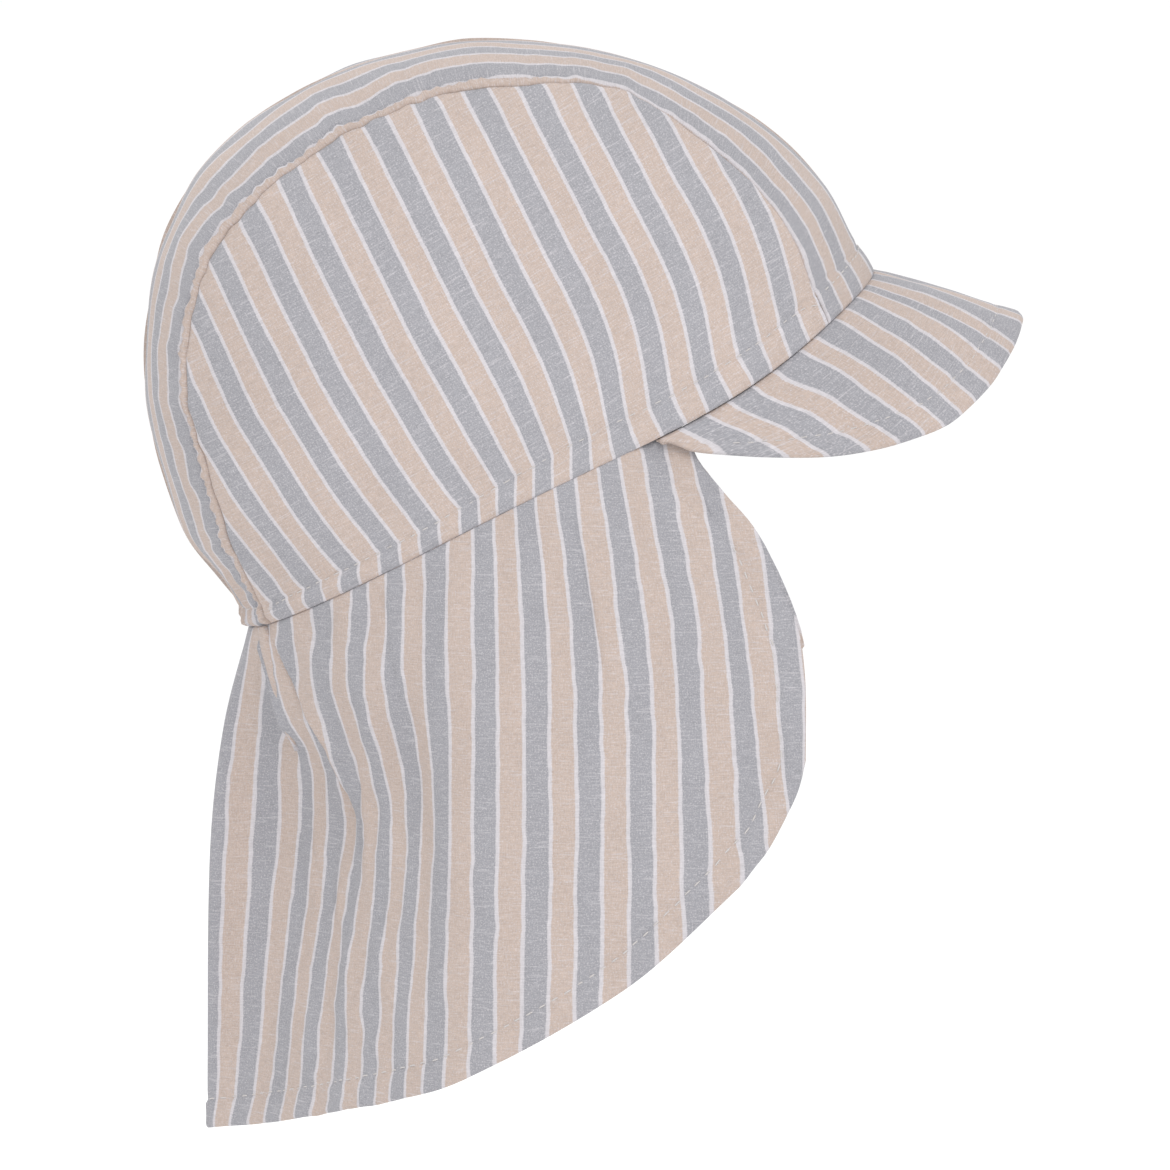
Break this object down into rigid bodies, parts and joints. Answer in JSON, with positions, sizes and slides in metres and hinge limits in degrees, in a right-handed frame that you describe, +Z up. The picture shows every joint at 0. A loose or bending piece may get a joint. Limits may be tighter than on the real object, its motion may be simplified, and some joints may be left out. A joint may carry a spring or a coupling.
{
  "type": "legionnaire cap",
  "caption": "Striped cloth sun cap with a panelled crown, a short peak and a long neck flap gathered at the nape.",
  "frame": {"origin": "middle of the head opening, where a head holds the cap", "axes": "+Z up as worn, +X towards the peak, +Y to the wearer's left"},
  "size_m": [0.2138, 0.1462, 0.266],
  "materials": {
    "centre_cloth": "woven cotton, grey and beige stripes with white lines",
    "side_cloth": "woven cotton, grey and beige stripes with white lines",
    "peak_cloth": "woven cotton, grey and beige stripes with white lines",
    "flap_cloth": "woven cotton, grey and beige stripes with white lines"
  },
  "bodies": {
    "root": {"crown_centre_panel": "centre_cloth", "crown_right_panel": "side_cloth", "crown_left_panel": "side_cloth", "peak": "peak_cloth", "neck_flap": "flap_cloth"}
  },
  "joints": []
}
